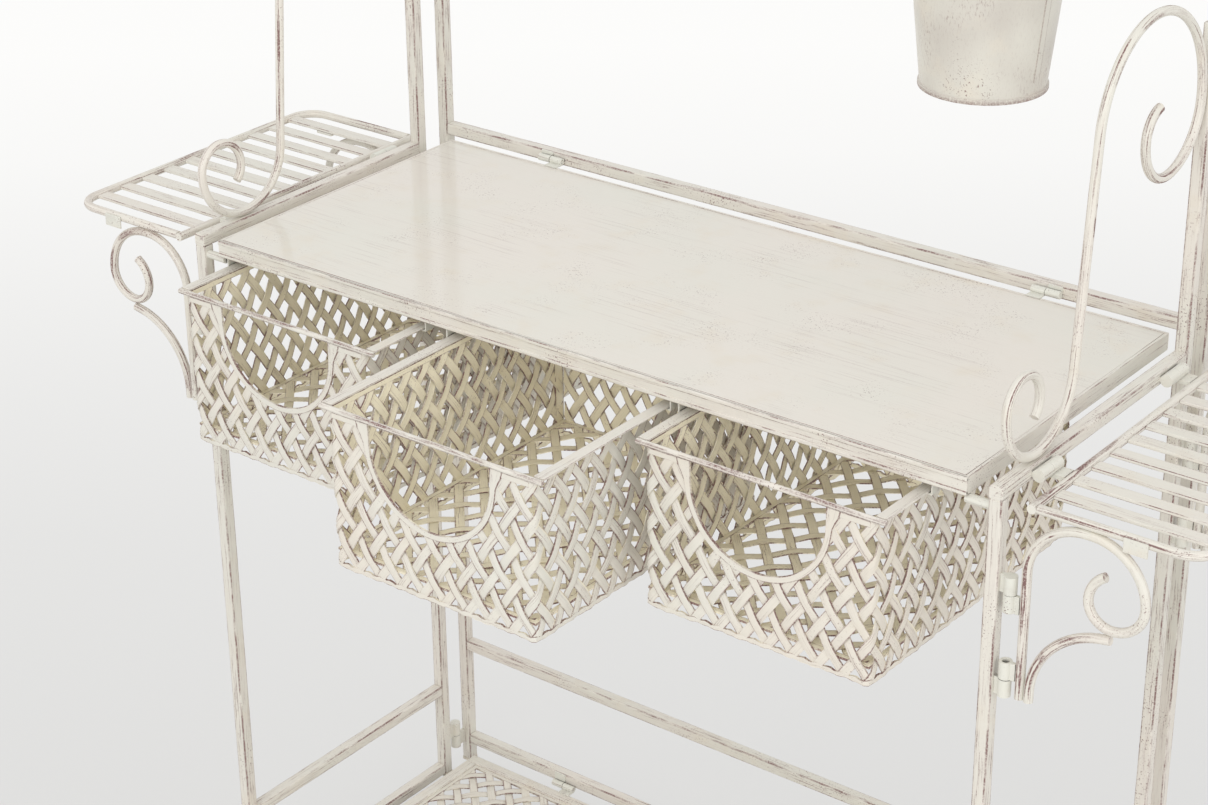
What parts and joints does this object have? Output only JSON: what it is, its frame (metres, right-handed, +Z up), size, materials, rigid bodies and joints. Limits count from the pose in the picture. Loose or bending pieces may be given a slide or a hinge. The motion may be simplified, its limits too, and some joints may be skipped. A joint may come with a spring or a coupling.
{
  "type": "folding plant shelf",
  "caption": "Free-standing iron plant shelf with woven basket drawers under a table top, folding side shelves on scroll brackets, a woven lower shelf and a hanging bucket.",
  "frame": {"origin": "on the floor, under the middle of the outer box with the drawers open as in the picture", "axes": "+X to the right, +Y to the back, +Z up; the drawers open towards -Y"},
  "size_m": [1.204, 0.5202, 1.3849],
  "materials": {
    "frame_paint": "antique cream paint with brown brushed wear",
    "table_paint": "smooth antique cream paint, slightly glossy",
    "weave_paint": "antique cream paint on woven metal strips, browned in the hollows",
    "bucket_paint": "antique cream paint with brown speckles",
    "foot_plastic": "ivory plastic"
  },
  "bodies": {
    "back_frame": {"back_post_left": "frame_paint", "back_post_right": "frame_paint", "back_cross_rails": "frame_paint", "back_table_rail": "frame_paint", "back_hanging_rail": "frame_paint", "back_arch": "frame_paint", "back_knuckles": "frame_paint", "back_feet": "foot_plastic"},
    "left_frame": {"left_front_leg": "frame_paint", "left_rear_post": "frame_paint", "left_top_rail": "frame_paint", "left_cross_rails": "frame_paint", "left_scroll": "frame_paint", "left_knuckles": "frame_paint", "left_feet": "foot_plastic"},
    "right_frame": {"right_front_leg": "frame_paint", "right_rear_post": "frame_paint", "right_top_rail": "frame_paint", "right_cross_rails": "frame_paint", "right_scroll": "frame_paint", "right_knuckles": "frame_paint", "right_feet": "foot_plastic"},
    "table_top": {"table_sheet": "table_paint", "table_border": "frame_paint", "drawer_runners": "frame_paint", "table_knuckles": "frame_paint"},
    "lower_shelf": {"lower_shelf_weave": "weave_paint", "lower_shelf_border": "frame_paint", "lower_shelf_knuckles": "frame_paint"},
    "left_shelf": {"left_shelf_frame": "frame_paint", "left_shelf_slats": "frame_paint", "left_shelf_knuckles": "frame_paint"},
    "left_front_bracket": {"left_front_bracket_scroll": "frame_paint", "left_front_bracket_knuckles": "frame_paint"},
    "left_rear_bracket": {"left_rear_bracket_scroll": "frame_paint", "left_rear_bracket_knuckles": "frame_paint"},
    "right_shelf": {"right_shelf_frame": "frame_paint", "right_shelf_slats": "frame_paint", "right_shelf_knuckles": "frame_paint"},
    "right_front_bracket": {"right_front_bracket_scroll": "frame_paint", "right_front_bracket_knuckles": "frame_paint"},
    "right_rear_bracket": {"right_rear_bracket_scroll": "frame_paint", "right_rear_bracket_knuckles": "frame_paint"},
    "left_drawer": {"left_drawer_front": "weave_paint", "left_drawer_back": "weave_paint", "left_drawer_sides": "weave_paint", "left_drawer_bottom": "weave_paint", "left_drawer_rim": "frame_paint"},
    "centre_drawer": {"centre_drawer_front": "weave_paint", "centre_drawer_back": "weave_paint", "centre_drawer_sides": "weave_paint", "centre_drawer_bottom": "weave_paint", "centre_drawer_rim": "frame_paint"},
    "right_drawer": {"right_drawer_front": "weave_paint", "right_drawer_back": "weave_paint", "right_drawer_sides": "weave_paint", "right_drawer_bottom": "weave_paint", "right_drawer_rim": "frame_paint"},
    "bucket": {"bucket_shell": "bucket_paint", "bucket_strap": "bucket_paint"}
  },
  "joints": [
    {"name": "left_frame_swing", "type": "hinge", "parent": "back_frame", "child": "left_frame", "pos_m": [-0.425, 0.2316, 0.026], "axis": [0, 0, -1], "range_deg": [0, 50]},
    {"name": "right_frame_swing", "type": "hinge", "parent": "back_frame", "child": "right_frame", "pos_m": [0.425, 0.2316, 0.026], "axis": [0, 0, 1], "range_deg": [0, 50]},
    {"name": "table_lift", "type": "hinge", "parent": "back_frame", "child": "table_top", "pos_m": [0, 0.2415, 0.7636], "axis": [-1, 0, 0], "range_deg": [0, 50]},
    {"name": "lower_shelf_lift", "type": "hinge", "parent": "back_frame", "child": "lower_shelf", "pos_m": [0, 0.2415, 0.0256], "axis": [-1, 0, 0], "range_deg": [0, 85]},
    {"name": "left_shelf_lift", "type": "hinge", "parent": "left_frame", "child": "left_shelf", "pos_m": [-0.4369, -0.04615, 0.754], "axis": [0, 1, 0], "range_deg": [0, 85]},
    {"name": "left_front_bracket_swing", "type": "hinge", "parent": "left_frame", "child": "left_front_bracket", "pos_m": [-0.4395, -0.09215, 0.578], "axis": [0, 0, -1], "range_deg": [0, 80]},
    {"name": "left_rear_bracket_swing", "type": "hinge", "parent": "left_frame", "child": "left_rear_bracket", "pos_m": [-0.4395, 0.21135, 0.578], "axis": [0, 0, 1], "range_deg": [0, 80]},
    {"name": "right_shelf_lift", "type": "hinge", "parent": "right_frame", "child": "right_shelf", "pos_m": [0.4369, -0.04615, 0.754], "axis": [0, -1, 0], "range_deg": [0, 85]},
    {"name": "right_front_bracket_swing", "type": "hinge", "parent": "right_frame", "child": "right_front_bracket", "pos_m": [0.4395, -0.09215, 0.578], "axis": [0, 0, 1], "range_deg": [0, 80]},
    {"name": "right_rear_bracket_swing", "type": "hinge", "parent": "right_frame", "child": "right_rear_bracket", "pos_m": [0.4395, 0.21135, 0.578], "axis": [0, 0, -1], "range_deg": [0, 80]},
    {"name": "left_drawer_slide", "type": "slide", "parent": "table_top", "child": "left_drawer", "axis": [0, -1, 0], "range_m": [-0.062, 0.178]},
    {"name": "centre_drawer_slide", "type": "slide", "parent": "table_top", "child": "centre_drawer", "axis": [0, -1, 0], "range_m": [-0.162, 0.078]},
    {"name": "right_drawer_slide", "type": "slide", "parent": "table_top", "child": "right_drawer", "axis": [0, -1, 0], "range_m": [-0.058, 0.182]},
    {"name": "bucket_lift", "type": "slide", "parent": "back_frame", "child": "bucket", "axis": [0, 0, 1], "range_m": [0, 0.03]}
  ]
}
